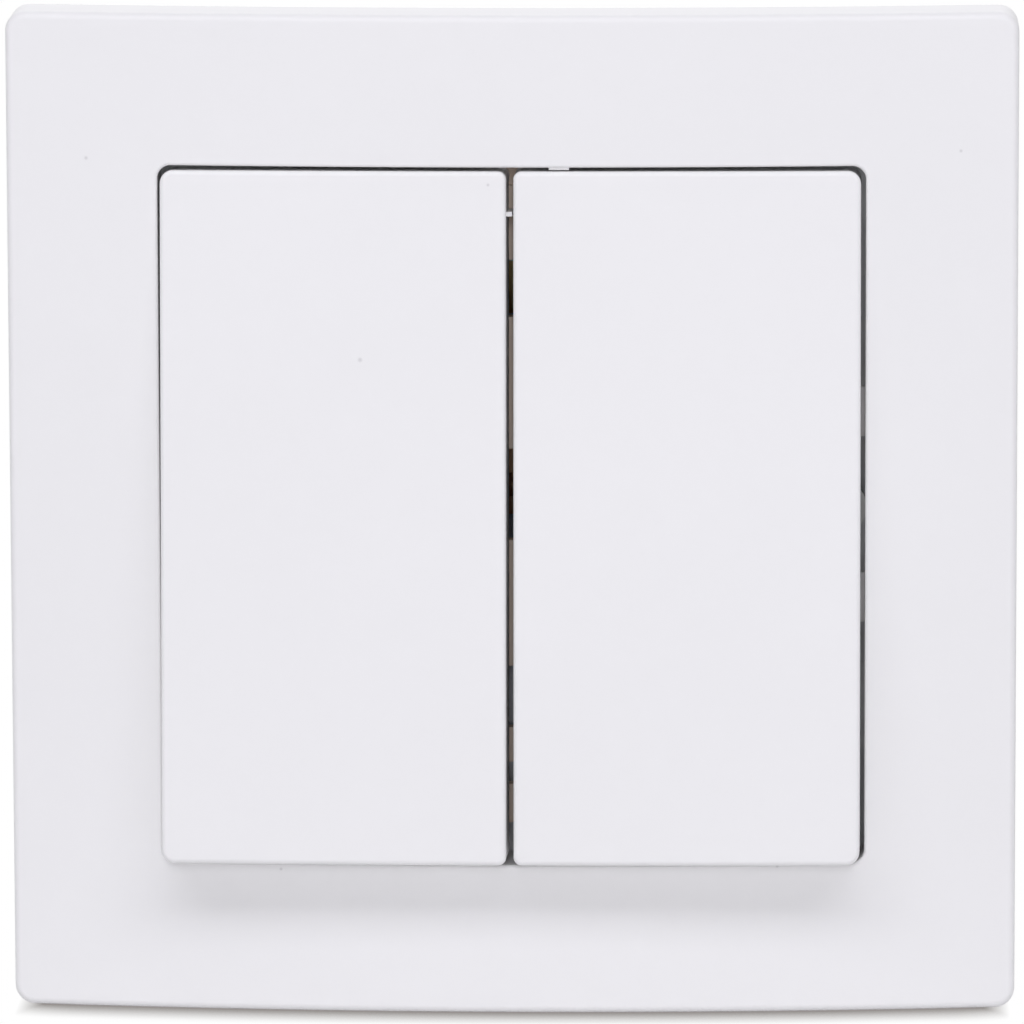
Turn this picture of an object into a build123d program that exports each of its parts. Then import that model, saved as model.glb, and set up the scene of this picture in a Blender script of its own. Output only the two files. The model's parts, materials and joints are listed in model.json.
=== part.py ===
from build123d import *
from math import cos, radians, sin, tan
import os

# Two-gang rocker light switch for a round wall box.
# Every piece is drawn with the switch lying on its back: x to the right, y up the wall, z out of the wall.
# The house wall is the plane z = 0. At the end each piece is stood up, so that the room side faces -Y.

# Cover frame
frame_size = 80.0
frame_corner = 1.6
frame_edge = 6.2
frame_crown = 2.8
frame_face = 2.0
frame_skirt = 1.5
rim_depth = 5.4
rim_overhang = 1.2
rim_round = 0.6
collar_wall = 1.3
collar_lift = 1.9
window_corner = 1.1
window_round = 0.25
rib_thickness = 1.2
rib_spacing = 34.0
frame_play_x = 0.09
frame_play_y = 0.06
nub_offset = 3.8
nub_width = 1.6
nub_depth = 2.0
nub_reach = 0.2
nub_set_back = 0.3

# Latches of the cover frame
latch_width = 4.0
latch_spacing = 15.0
latch_nose = 0.65
latch_lip = 0.5
latch_gap = 0.08

# Rockers
rocker_width = 27.36
rocker_length = 55.03
rocker_spacing = 0.59
rocker_side_gap = 0.31
rocker_end_gap = 0.45
rocker_corner = 1.05
rocker_inner_corner = 0.65
rocker_face = 1.6
rocker_wall = 1.1
rocker_round = 0.4
rocker_arch = 1.0
rocker_proud = 2.0
rocker_tilt = 4.3
rocker_draft = 0.5
rocker_rib = 0.9
rocker_rib_height = 1.3
rocker_rib_spacing = 11.0
press_room = 0.65
inner_skirt_lift = 1.2
spacer_height = 24.1
spacer_width = 0.35
spacer_depth = 4.6
spacer_set_back = 0.9
spacer_gap = 0.12

# Yokes under the rockers
pivot_below = 3.9
pivot_radius = 0.7
pivot_clearance = 0.05
yoke_width = 11.0
yoke_thickness = 2.0
yoke_over_pivot = 0.5
yoke_corner = 1.0
yoke_end_gap = 0.4
pin_overrun = 0.15
barrel_radius = 2.5
barrel_draft = 1.0
barrel_reach = 11.6
gusset_thickness = 1.2
gusset_height = 2.2
clip_width = 8.0
clip_leg = 1.1
clip_nose = 0.5
clip_nose_height = 0.8
clip_gap = 0.08
seat_offset = 3.4

# Plungers and springs
plunger_radius = 1.48
plunger_clearance = 0.07
plunger_reach = 14.2
plunger_length = 5.4
plunger_spigot = 0.85
plunger_spigot_length = 1.2
spring_room = 5.2
spring_wire = 0.2
spring_gap = 0.12
spring_turns = 4.0
spring_sides = 6

# Support plate
plate_thickness = 1.0
plate_room = 1.8
plate_corner = 5.0
plate_hole_inset = 4.5
plate_hole_radius = 1.7
plate_opening_margin = 3.5
box_screw_spacing = 60.0
box_hole_radius = 1.7

# Carrier
carrier_floor = 1.2
carrier_corner = 2.5
carrier_clearance = 0.35
ear_length = 22.0
ear_clearance = 0.3
claw_notch = 8.4
post_thickness = 1.2
post_width = 3.8
post_foot = 6.4
post_clearance = 0.35
tongue_width = 8.1
tongue_offset = -1.05
tongue_thickness = 0.45
tongue_gap = 0.3
post_grip = 0.5
barrel_clearance = 0.7
upper_slot_low = 15.2
upper_slot_high = 19.8
lower_slot_low = -18.0
lower_slot_high = -13.0
foot_slot_low = -22.6
foot_slot_high = -20.8
middle_slot_low = -2.8
middle_slot_high = 4.6

# Switch base
base_width = 40.0
base_length = 42.0
base_depth = 17.0
base_wall = 1.6
base_corner = 4.0
base_round = 0.8
boss_radius = 2.2
boss_inset = 3.2
barrier_wall = 1.2
barrier_depth = 1.5

# Screws that clamp carrier, plate and base
screw_radius = 1.0
screw_head_radius = 2.1
screw_head_height = 1.3
screw_reach = 7.0
screw_clearance = 0.2
recess_width = 0.7
recess_span = 2.6
recess_depth = 0.7

# Contact levers
lever_length = 17.2
lever_width = 5.0
lever_thickness = 0.8
lever_corner = 1.2
lever_tilt = 8.0
lever_knee = 1.0
knee_clearance = 0.03
tip_clearance = 0.03
contact_offset = 6.8
contact_radius = 1.6
contact_height = 0.8
contact_crown = 2.6
contact_rivet = 0.7
rivet_tail_radius = 1.1
rivet_tail_height = 0.3
rivet_clearance = 0.02
contact_clearance = 0.05
stop_clearance = 0.15

# Strips and terminals
strip_thickness = 0.8
strip_width = 4.8
feed_length = 31.0
fixed_contact_height = 1.0
terminal_width = 6.8
terminal_length = 6.4
terminal_height = 9.0
terminal_offset = 9.5
terminal_gap = 0.1
wire_radius = 1.6
wire_depth = 7.0
wire_wall = 0.6
wire_hole_radius = 2.0
clamp_radius = 1.4
clamp_height = 4.0
clamp_head_radius = 2.5
clamp_head_height = 1.6
clamp_clearance = 0.05
clamp_access = 0.4

# Claws
claw_sheet = 1.2
claw_width = 11.0
claw_length = 13.0
claw_gap = 0.3
claw_tooth = 2.6
claw_notch_angle = 90.0
claw_window = 6.8
claw_window_length = 7.2
claw_foot_drop = 2.5
claw_foot_reach = 7.4
claw_foot_width = 6.0
knuckle_radius = 1.7
claw_pin_radius = 0.8
claw_pin_drop = 2.4
claw_pin_clearance = 0.06
claw_pin_overrun = 0.3
lug_gap = 0.4
lug_thickness = 1.0
claw_screw_lever = 4.0
claw_screw_radius = 1.5
claw_screw_head = 2.2
claw_head_room = 0.8
claw_screw_length = 10.6
claw_slot_inner = 3.0
claw_slot_outer = 1.8
claw_nut_size = 5.0
claw_nut_height = 2.2
claw_nut_gap = 0.2

# Heights that follow from the sizes above
frame_front = frame_edge + frame_crown
frame_arch_radius = ((frame_size / 2) ** 2 + frame_crown**2) / (2 * frame_crown)
rocker_front = frame_front + rocker_proud
rocker_dip = rocker_length / 2 * sin(radians(rocker_tilt))
rocker_bottom = plate_thickness + press_room + rocker_dip
pair_width = 2 * rocker_width + rocker_spacing
pair_arch_radius = ((pair_width / 2) ** 2 + rocker_arch**2) / (2 * rocker_arch)
window_width = pair_width + 2 * rocker_side_gap
window_length = rocker_length + 2 * rocker_end_gap
pivot_z = rocker_front - pivot_below
yoke_top = pivot_z + yoke_over_pivot
yoke_bottom = yoke_top - yoke_thickness
barrel_end = pivot_z - barrel_reach
plunger_tip = pivot_z - plunger_reach
plunger_top = plunger_tip + plunger_length
bore_radius = plunger_radius + plunger_clearance
bore_end = plunger_top + spring_room
floor_top = plate_thickness + carrier_floor
lever_top = plunger_tip - tip_clearance
lever_axis = lever_top - lever_thickness
cradle_radius = lever_knee + knee_clearance
strip_top = lever_axis - strip_width / 2 * tan(radians(lever_tilt)) - knee_clearance
base_floor = base_wall - base_depth
terminal_low = base_floor
terminal_top = terminal_low + terminal_height
contact_centre = lever_axis - contact_height + contact_crown
contact_low = (
    lever_axis
    + (contact_centre - lever_axis) * cos(radians(lever_tilt))
    - contact_offset * sin(radians(lever_tilt))
    - contact_crown
)
contact_y = (
    -contact_offset * cos(radians(lever_tilt))
    - (contact_centre - lever_axis) * sin(radians(lever_tilt))
)
fixed_top = contact_low - contact_clearance
load_top = fixed_top - fixed_contact_height

# Places across the switch that follow from the sizes above
plate_size = frame_size - 2 * (rim_overhang + frame_skirt + plate_room)
rocker_x = (rocker_spacing + rocker_width) / 2
inner_post_x = rocker_spacing / 2 + rocker_wall + post_clearance + post_thickness / 2
yoke_inner_x = inner_post_x + post_thickness / 2 + yoke_end_gap
claw_pin_x = base_width / 2 + claw_gap + knuckle_radius
claw_screw_x = claw_pin_x + claw_screw_lever
carrier_notch_x = claw_screw_x - claw_screw_head - claw_head_room
outer_post_x = carrier_notch_x - post_clearance - post_thickness / 2
yoke_length = outer_post_x - post_thickness / 2 - yoke_end_gap - yoke_inner_x
yoke_x = yoke_inner_x + yoke_length / 2
ear_x = window_width / 2 - ear_clearance
floor_x = ear_x - rocker_wall - rocker_side_gap - carrier_clearance
floor_y = (
    (rocker_length / 2 - rocker_wall) * cos(radians(rocker_tilt))
    - (pivot_z - rocker_bottom) * sin(radians(rocker_tilt))
    - carrier_clearance
)
boss_x = base_width / 2 - boss_inset
boss_y = base_length / 2 - boss_inset
terminal_outer_y = base_length / 2 - base_wall - terminal_gap
terminal_y = terminal_outer_y - terminal_length / 2
terminal_inner_y = terminal_outer_y - terminal_length
wire_y = terminal_inner_y + wire_wall + wire_radius
clamp_z = terminal_low + clamp_height
claw_foot_low = -claw_pin_drop - claw_foot_drop - claw_sheet / 2
lug_y = claw_width / 2 + lug_gap + lug_thickness / 2


def prism(sketch, low, high):
    """A sketch drawn on the wall plane, carried from one height to another."""
    return extrude(Pos(0, 0, low) * sketch, high - low)


def arch(radius, crest):
    """A cylinder lying along y with its crest at the height given."""
    return Pos(0, 0, crest - radius) * Rot(90, 0, 0) * Cylinder(radius, 2 * frame_size)


def rod_x(radius, x0, x1, y, z):
    """A round rod along x."""
    return Pos((x0 + x1) / 2, y, z) * Rot(0, 90, 0) * Cylinder(radius, abs(x1 - x0))


def rod_y(radius, x, y0, y1, z):
    """A round rod along y."""
    return Pos(x, (y0 + y1) / 2, z) * Rot(90, 0, 0) * Cylinder(radius, abs(y1 - y0))


def block(x0, x1, y0, y1, z0, z1):
    """A straight wall or tab between the six planes given."""
    return Pos((x0 + x1) / 2, (y0 + y1) / 2, (z0 + z1) / 2) * Box(x1 - x0, y1 - y0, z1 - z0)


def turned(piece, z, angle):
    """A piece turned about the line along x at the height given."""
    return Pos(0, 0, z) * Rot(angle, 0, 0) * Pos(0, 0, -z) * piece


def cross_recess(low):
    """Two crossing slots in the top of a screw head."""
    long_slot = prism(Rectangle(recess_span, recess_width), low, low + recess_depth)
    return long_slot + Rot(0, 0, 90) * long_slot


def cover_frame():
    """Arched frame with an overhanging rim, a skirt on the wall, a window collar, ribs and four latches."""
    outline = RectangleRounded(frame_size, frame_size, frame_corner)
    inset = frame_size - 2 * rim_overhang
    front = arch(frame_arch_radius, frame_front)
    rim_back = arch(frame_arch_radius - rim_depth, frame_front - rim_depth)
    rim = (prism(outline, 0, frame_front) & front) - rim_back
    rim_face = rim.faces().filter_by(GeomType.CYLINDER).sort_by(Axis.Z)[-1]
    rim = fillet(rim_face.outer_wire().edges(), rim_round)
    skirt = prism(RectangleRounded(inset, inset, frame_corner), 0, frame_front) & rim_back
    body = rim + skirt

    hollow = inset - 2 * frame_skirt
    ceiling = arch(frame_arch_radius - frame_face, frame_front - frame_face)
    body -= prism(Rectangle(hollow, hollow), 0, frame_front) & ceiling

    collar_x = window_width / 2 + collar_wall
    collar_y = window_length / 2 + collar_wall
    collar = prism(
        RectangleRounded(2 * collar_x, 2 * collar_y, window_corner + collar_wall),
        plate_thickness + collar_lift,
        frame_front,
    )
    bar = prism(Rectangle(hollow, rib_thickness), plate_thickness + collar_lift, frame_front)
    bars = [Pos(0, y) * bar for y in (-rib_spacing / 2, rib_spacing / 2)]
    body += (collar + bars + [Rot(0, 0, 90) * rib for rib in bars]) & ceiling
    body -= prism(RectangleRounded(window_width, window_length, window_corner), 0, frame_front)
    front_face = body.faces().filter_by(GeomType.CYLINDER).sort_by(SortBy.AREA)[-1]
    body = fillet(front_face.inner_wires().edges(), window_round)

    latch_low = plate_thickness + latch_gap
    tongue_x = (window_width / 2 + collar_x) / 2
    hook_x = window_width / 2 - latch_nose / 2
    tongue_top = plate_thickness + 2 * collar_lift
    tongue = prism(Pos(tongue_x, 0) * Rectangle(collar_wall, latch_width), latch_low, tongue_top)
    tongue += prism(Pos(hook_x, 0) * Rectangle(latch_nose, latch_width), latch_low, latch_low + latch_lip)
    for side in (0, 180):
        body += [Rot(0, 0, side) * Pos(0, y) * tongue for y in (-latch_spacing / 2, latch_spacing / 2)]

    nub_top = frame_front - nub_set_back
    nub = Pos(nub_offset, window_length / 2) * Rectangle(nub_width, 2 * nub_reach)
    body += prism(nub, nub_top - nub_depth, nub_top)
    return Pos(frame_play_x, frame_play_y) * body


def rocker():
    """Right-hand rocker cap at mid travel: an arched tray with ribs, seats and clips for its yoke."""
    flare = (rocker_front - rocker_bottom) * tan(radians(rocker_draft))
    outline = Rectangle(rocker_width + 2 * flare, rocker_length + 2 * flare)
    outline = fillet(outline.vertices().group_by(Axis.X)[0], rocker_inner_corner + flare)
    outline = fillet(outline.vertices().group_by(Axis.X)[-1], rocker_corner + flare)
    outline = Pos(rocker_x, 0, rocker_bottom) * outline
    body = extrude(outline, rocker_front - rocker_bottom, taper=rocker_draft)
    body &= arch(pair_arch_radius, rocker_front)
    body = fillet(body.faces().sort_by(Axis.Z)[-1].outer_wire().edges(), rocker_round)

    hollow = Rectangle(rocker_width - 2 * rocker_wall, rocker_length - 2 * rocker_wall)
    ceiling = arch(pair_arch_radius - rocker_face, rocker_front - rocker_face)
    body -= prism(Pos(rocker_x, 0) * hollow, rocker_bottom, rocker_front) & ceiling

    inner_edge = rocker_spacing / 2 + rocker_wall
    inner_length = rocker_length - 2 * rocker_wall
    body -= prism(Rectangle(2 * inner_edge, inner_length), rocker_bottom, rocker_bottom + inner_skirt_lift)

    rib_top = rocker_front - rocker_face
    rib_low = rib_top - rocker_arch - rocker_rib_height
    rib_end = rocker_length / 2 - rocker_wall
    rib_start = yoke_width / 2 + clip_gap + clip_leg
    inner_x = yoke_inner_x + yoke_end_gap
    outer_x = yoke_inner_x + yoke_length - yoke_end_gap
    stiffeners = Part()
    for end in (0, 180):
        for x in (-rocker_rib_spacing / 2, rocker_rib_spacing / 2):
            rib = block(x - rocker_rib / 2, x + rocker_rib / 2, rib_start, rib_end, rib_low, rib_top)
            stiffeners += Pos(rocker_x, 0) * Rot(0, 0, end) * rib
        seat = block(
            inner_x - yoke_x,
            outer_x - yoke_x,
            seat_offset - rocker_rib / 2,
            seat_offset + rocker_rib / 2,
            yoke_top,
            rib_top,
        )
        leg_y = yoke_width / 2 + clip_gap
        clip_low = yoke_bottom - clip_gap - clip_nose_height
        leg = block(-clip_width / 2, clip_width / 2, leg_y, leg_y + clip_leg, clip_low, rib_top)
        hook = Plane.YZ * make_face(
            Polyline(
                (leg_y, clip_low),
                (leg_y, yoke_bottom - clip_gap),
                (leg_y - clip_gap - clip_nose, yoke_bottom - clip_gap),
                close=True,
            )
        )
        leg += extrude(hook, clip_width / 2, both=True)
        stiffeners += Pos(yoke_x, 0) * Rot(0, 0, end) * (seat + leg)
    return body + (stiffeners & arch(pair_arch_radius - rocker_face / 2, rocker_front - rocker_face / 2))


def spacer():
    """Thin rib on the left-hand rocker's inner wall that keeps the two rockers apart."""
    wide = rocker_spacing - spacer_gap
    rib = Pos(-spacer_gap / 2 - wide / 2, spacer_height) * Rectangle(2 * wide, spacer_width)
    return prism(rib, rocker_front - spacer_set_back - spacer_depth, rocker_front - spacer_set_back)


def yoke():
    """Right-hand yoke at its middle position: a plate with two hinge pins, gussets and a spring barrel."""
    outline = Pos(yoke_x, 0) * RectangleRounded(yoke_length, yoke_width, yoke_corner)
    plate = prism(outline, yoke_bottom, yoke_top)
    overrun = post_thickness / 2 + pin_overrun
    pins = rod_x(pivot_radius, inner_post_x - overrun, outer_post_x + overrun, 0, pivot_z)
    barrel = Pos(yoke_x, 0, yoke_bottom) * Rot(180, 0, 0) * extrude(
        Circle(barrel_radius), yoke_bottom - barrel_end, taper=barrel_draft
    )
    gusset = Plane.XZ * make_face(
        Polyline(
            (yoke_inner_x, yoke_bottom),
            (yoke_inner_x + yoke_length, yoke_bottom),
            (yoke_x, yoke_bottom - 2 * gusset_height),
            close=True,
        )
    )
    body = plate + pins + barrel + extrude(gusset, gusset_thickness / 2, both=True)
    return body - prism(Pos(yoke_x, 0) * Circle(bore_radius), barrel_end, bore_end)


def plunger():
    """Right-hand plunger: a round-nosed pin with a spigot inside its spring."""
    nose = plunger_tip + plunger_radius
    body = prism(Circle(plunger_radius), nose, plunger_top) + Pos(0, 0, nose) * Sphere(plunger_radius)
    body += prism(Circle(plunger_spigot), plunger_top, plunger_top + plunger_spigot_length)
    return Pos(yoke_x, 0) * body


def spring():
    """Right-hand coil spring between the plunger's shoulder and the end of the bore."""
    coil = plunger_spigot + spring_gap + spring_wire
    length = bore_end - plunger_top - 2 * spring_wire - 2 * plunger_clearance
    path = Helix(pitch=length / spring_turns, height=length, radius=coil)
    wire = Plane(origin=path @ 0, z_dir=path % 0) * RegularPolygon(spring_wire, spring_sides)
    return Pos(yoke_x, 0, plunger_top + spring_wire + plunger_clearance) * sweep(wire, path=path)


def contact_lever():
    """Right-hand see-saw lever, level, with the knee that it rocks on and the hole for its contact."""
    body = prism(RectangleRounded(lever_width, lever_length, lever_corner), lever_axis, lever_top)
    knee = rod_x(lever_knee, -lever_width / 2, lever_width / 2, 0, lever_axis)
    body += split(knee, Plane.XY.offset(lever_axis), keep=Keep.BOTTOM)
    body -= prism(Pos(0, -contact_offset) * Circle(contact_rivet + rivet_clearance), lever_axis, lever_top)
    return Pos(yoke_x, 0) * body


def lever_contact():
    """Right-hand domed contact, riveted through its lever."""
    dome = Pos(0, 0, contact_centre) * Sphere(contact_crown)
    body = prism(Circle(contact_radius), lever_axis - contact_height, lever_axis) & dome
    body += prism(Circle(contact_rivet), lever_axis, lever_top)
    body += prism(Circle(rivet_tail_radius), lever_top, lever_top + rivet_tail_height)
    return Pos(yoke_x, -contact_offset) * body


def feed_strip():
    """Common strip: a rolled channel that both levers rock in, with an arm to the feed terminal."""
    flat = Pos(0, strip_top - strip_thickness / 2) * Rectangle(strip_width, strip_thickness)
    trough = Pos(0, lever_axis) * Circle(cradle_radius + strip_thickness)
    lower_half = Pos(0, strip_top - strip_width) * Rectangle(2 * strip_width, 2 * strip_width)
    section = flat + (trough & lower_half) - Pos(0, lever_axis) * Circle(cradle_radius)
    channel = extrude(Plane.YZ * section, feed_length / 2, both=True)
    arm_start = strip_width / 2
    arm = block(-arm_start, arm_start, arm_start, terminal_inner_y, strip_top - strip_thickness, strip_top)
    return channel + arm


def load_strip():
    """Right-hand outgoing strip from under the fixed contact to its terminal block."""
    pad_end = contact_y + contact_radius + strip_thickness
    pad = Pos(yoke_x, (pad_end + contact_y) / 2) * Rectangle(strip_width, 2 * (pad_end - contact_y))
    tail_inner = yoke_x - strip_width / 2
    tail_outer = terminal_offset + terminal_width / 2
    tail = Pos((tail_inner + tail_outer) / 2, (contact_y - terminal_inner_y) / 2) * Rectangle(
        tail_outer - tail_inner, terminal_inner_y + contact_y
    )
    rivet_hole = Pos(yoke_x, contact_y) * Circle(contact_rivet + rivet_clearance)
    return prism(pad + tail - rivet_hole, load_top - strip_thickness, load_top)


def fixed_contact():
    """Right-hand flat contact, riveted through its strip."""
    body = prism(Circle(contact_radius), load_top, fixed_top)
    body += prism(Circle(contact_rivet), load_top - strip_thickness, load_top)
    return Pos(yoke_x, contact_y) * body


def terminal():
    """Feed terminal: a brass block with a blind wire hole from the back and a cross hole for its screw."""
    body = prism(Pos(0, terminal_y) * Rectangle(terminal_width, terminal_length), terminal_low, terminal_top)
    body -= prism(Pos(0, wire_y) * Circle(wire_radius), terminal_low, terminal_low + wire_depth)
    return body - rod_y(clamp_radius + clamp_clearance, 0, wire_y, terminal_outer_y, clamp_z)


def clamp_screw():
    """Clamp screw at the top of the base, backed out of the wire hole."""
    head_low = terminal_outer_y + clamp_clearance
    screw = prism(Circle(clamp_head_radius), 0, clamp_head_height)
    shank = wire_y + wire_radius + clamp_clearance - head_low
    screw += prism(Circle(clamp_radius), shank, 0)
    screw -= cross_recess(clamp_head_height - recess_depth)
    return Pos(0, head_low, clamp_z) * Rot(-90, 0, 0) * screw


def at_terminals(piece):
    """Copies of a piece at the feed terminal and the two outgoing ones: feed, left, right."""
    low = Rot(0, 0, 180) * piece
    return [piece, Pos(-terminal_offset, 0) * low, Pos(terminal_offset, 0) * low]


def switch_base():
    """Moulded cup with bosses, terminal pockets, and the ledges that carry the strips."""
    body = prism(RectangleRounded(base_width, base_length, base_corner), -base_depth, 0)
    body = chamfer(body.faces().sort_by(Axis.Z)[0].edges(), base_round)
    inner_x = base_width / 2 - base_wall
    inner_y = base_length / 2 - base_wall
    body -= prism(RectangleRounded(2 * inner_x, 2 * inner_y, base_corner - base_wall), base_floor, 0)

    boss = prism(Circle(boss_radius), base_floor, 0)
    pilot = prism(Circle(screw_radius), floor_top - screw_reach - boss_radius, 0)
    corners = [Pos(x, y) for x in (-boss_x, boss_x) for y in (-boss_y, boss_y)]
    body += [place * boss for place in corners]

    saddle_low = strip_top - strip_thickness
    saddle = Pos(0, (base_floor + saddle_low) / 2) * Rectangle(strip_width, saddle_low - base_floor)
    groove = rod_x(cradle_radius + strip_thickness, -inner_x, inner_x, 0, lever_axis)
    body += extrude(Plane.YZ * saddle, inner_x, both=True) - groove
    barrier_end = strip_width / 2 + base_wall
    body += block(-barrier_wall / 2, barrier_wall / 2, -inner_y, -barrier_end, base_floor, -barrier_depth)

    ledge = block(
        yoke_x - strip_width / 2,
        yoke_x + strip_width / 2,
        contact_y - contact_radius,
        contact_y + contact_radius,
        base_floor,
        load_top - strip_thickness,
    )
    stop_drop = lever_length / 2 * sin(radians(lever_tilt)) + stop_clearance
    stop_y = lever_length / 2 * cos(radians(lever_tilt))
    stop = block(
        yoke_x - lever_width / 2,
        yoke_x + lever_width / 2,
        stop_y - lever_corner,
        stop_y,
        base_floor,
        lever_axis - stop_drop,
    )
    side = ledge + stop
    body += [side, mirror(side, Plane.YZ)]

    wall_in = terminal_width / 2 + terminal_gap
    pocket = block(
        -wall_in - barrier_wall,
        wall_in + barrier_wall,
        terminal_inner_y,
        inner_y,
        base_floor,
        terminal_top - clamp_height,
    ) - block(-wall_in, wall_in, terminal_inner_y, inner_y, base_floor, terminal_top)
    body += at_terminals(pocket)
    body -= at_terminals(prism(Pos(0, wire_y) * Circle(wire_hole_radius), -base_depth, base_floor))
    body -= at_terminals(rod_y(clamp_head_radius + clamp_access, 0, inner_y, base_length / 2, clamp_z))
    return body - [place * pilot for place in corners]


def centre_slot(low, high):
    """Opening between the inner hinge posts, from one height to another."""
    width = 2 * inner_post_x - post_thickness
    return Pos(0, (low + high) / 2) * Rectangle(width, high - low)


def support_plate():
    """Stamped steel plate with an opening for the switch, box screw holes, corner holes and claw lugs."""
    opening_x = 2 * (yoke_x + barrel_radius + plate_opening_margin)
    opening_y = 2 * (barrel_radius + barrel_clearance + 2 * plate_opening_margin)
    sketch = RectangleRounded(plate_size, plate_size, plate_corner)
    sketch -= RectangleRounded(opening_x, opening_y, carrier_corner)
    sketch -= centre_slot(upper_slot_low, upper_slot_high)
    sketch -= centre_slot(lower_slot_low, lower_slot_high)
    box_hole = Circle(box_hole_radius)
    sketch -= [Pos(0, y) * box_hole for y in (-box_screw_spacing / 2, box_screw_spacing / 2)]
    hole = plate_size / 2 - plate_hole_inset
    sketch -= [Pos(x, y) * Circle(plate_hole_radius) for x in (-hole, hole) for y in (-hole, hole)]
    through = Circle(screw_radius + screw_clearance)
    sketch -= [Pos(x, y) * through for x in (-boss_x, boss_x) for y in (-boss_y, boss_y)]
    claw_hole = Circle(claw_screw_radius + screw_clearance)
    sketch -= [Pos(x, 0) * claw_hole for x in (-claw_screw_x, claw_screw_x)]
    body = prism(sketch, 0, plate_thickness)

    profile = Pos(claw_pin_x, -claw_pin_drop / 2) * Rectangle(2 * knuckle_radius, claw_pin_drop)
    profile += Pos(claw_pin_x, -claw_pin_drop) * Circle(knuckle_radius)
    profile -= Pos(claw_pin_x, -claw_pin_drop) * Circle(claw_pin_radius)
    lug = Pos(0, lug_y) * extrude(Plane.XZ * profile, lug_thickness / 2, both=True)
    pair = lug + mirror(lug, Plane.XZ)
    return body + pair + mirror(pair, Plane.YZ)


def post(x):
    """Hinge post with a snap-in bearing, open at the top."""
    top = pivot_z + post_grip
    profile = make_face(
        Polyline(
            (-post_foot / 2, plate_thickness),
            (post_foot / 2, plate_thickness),
            (post_foot / 2, floor_top),
            (post_width / 2, pivot_z - post_width / 2),
            (post_width / 2, top),
            (-post_width / 2, top),
            (-post_width / 2, pivot_z - post_width / 2),
            (-post_foot / 2, floor_top),
            close=True,
        )
    )
    profile -= Pos(0, pivot_z) * Circle(pivot_radius + pivot_clearance)
    return Pos(x, 0) * extrude(Plane.YZ * profile, post_thickness / 2, both=True)


def rocker_carrier():
    """White carrier on the support plate: floor, ears that hold the cover frame, and four hinge posts."""
    floor = RectangleRounded(2 * floor_x, 2 * floor_y, carrier_corner) + Rectangle(2 * ear_x, ear_length)
    ends = floor.vertices().group_by(Axis.X)
    floor = fillet(ends[0] + ends[-1], rocker_corner)
    notch = Rectangle(2 * (ear_x - carrier_notch_x), claw_notch)
    floor -= [Pos(x, 0) * notch for x in (-ear_x, ear_x)]
    barrel_slot = RectangleRounded(
        2 * (barrel_radius + barrel_clearance),
        2 * (barrel_radius + 2 * barrel_clearance),
        barrel_radius,
    )
    floor -= [Pos(x, 0) * barrel_slot for x in (-yoke_x, yoke_x)]
    floor -= centre_slot(upper_slot_low, upper_slot_high)
    floor -= centre_slot(middle_slot_low, middle_slot_high)
    floor -= centre_slot(lower_slot_low, lower_slot_high)
    floor -= centre_slot(foot_slot_low, foot_slot_high)
    body = prism(floor, plate_thickness, floor_top)
    tongue_end = window_length / 2 - tongue_gap
    tongue = Pos(tongue_offset, tongue_end / 2) * Rectangle(tongue_width, tongue_end)
    tongue -= Pos(0, floor_y / 2) * Rectangle(2 * floor_x, floor_y)
    body += prism(tongue, plate_thickness, plate_thickness + tongue_thickness)

    corners = [Pos(x, y) for x in (-boss_x, boss_x) for y in (-boss_y, boss_y)]
    pad = prism(Circle(screw_head_radius), floor_top, floor_top + screw_clearance)
    through = prism(Circle(screw_radius + screw_clearance), plate_thickness, floor_top + screw_clearance)
    body += [place * pad for place in corners]
    body -= [place * through for place in corners]
    body += [post(x) for x in (-outer_post_x, -inner_post_x, inner_post_x, outer_post_x)]

    relief = block(
        ear_x - latch_nose - latch_gap,
        ear_x,
        -ear_length / 2,
        ear_length / 2,
        plate_thickness,
        plate_thickness + latch_lip + 2 * latch_gap,
    )
    return body - [relief, mirror(relief, Plane.YZ)]


def carrier_screw():
    """Round-headed screw through carrier, plate and base."""
    low = floor_top + screw_clearance
    body = prism(Circle(screw_head_radius), low, low + screw_head_height)
    body = chamfer(body.faces().sort_by(Axis.Z)[-1].edges(), screw_head_height / 4)
    body += prism(Circle(screw_radius), floor_top - screw_reach, low)
    return body - cross_recess(low + screw_head_height - recess_depth)


def claw():
    """Right-hand claw, folded in: an arm rolled round its pin, with a lanced foot for the screw and teeth."""
    arm_x = claw_pin_x - claw_sheet / 2
    arm_low = -claw_pin_drop - claw_length
    half = claw_width / 2
    body = rod_y(knuckle_radius, claw_pin_x, -half, half, -claw_pin_drop)
    body += block(arm_x, arm_x + claw_sheet, -half, half, arm_low, -claw_pin_drop)
    tooth_edge = arm_x + claw_sheet + claw_tooth
    flange = block(arm_x, tooth_edge, -half, half, arm_low, arm_low + claw_sheet)
    bite = claw_tooth * tan(radians(claw_notch_angle / 2))
    notch = make_face(
        Polyline((tooth_edge - claw_tooth, 0), (tooth_edge, bite), (tooth_edge, -bite), close=True)
    )
    body += flange - prism(notch, arm_low, arm_low + claw_sheet)
    window_half = claw_window / 2
    window_low = claw_foot_low - claw_window_length
    body -= block(arm_x, arm_x + claw_sheet, -window_half, window_half, window_low, claw_foot_low)
    foot = Pos(claw_pin_x + claw_foot_reach / 2, 0) * Rectangle(claw_foot_reach, claw_foot_width)
    slot_mid = claw_screw_x + (claw_slot_outer - claw_slot_inner) / 2
    foot -= Pos(slot_mid, 0) * SlotOverall(claw_slot_inner + claw_slot_outer, 2 * claw_slot_outer)
    body += prism(foot, claw_foot_low, claw_foot_low + claw_sheet)
    return body - rod_y(claw_pin_radius + claw_pin_clearance, claw_pin_x, -half, half, -claw_pin_drop)


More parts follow.
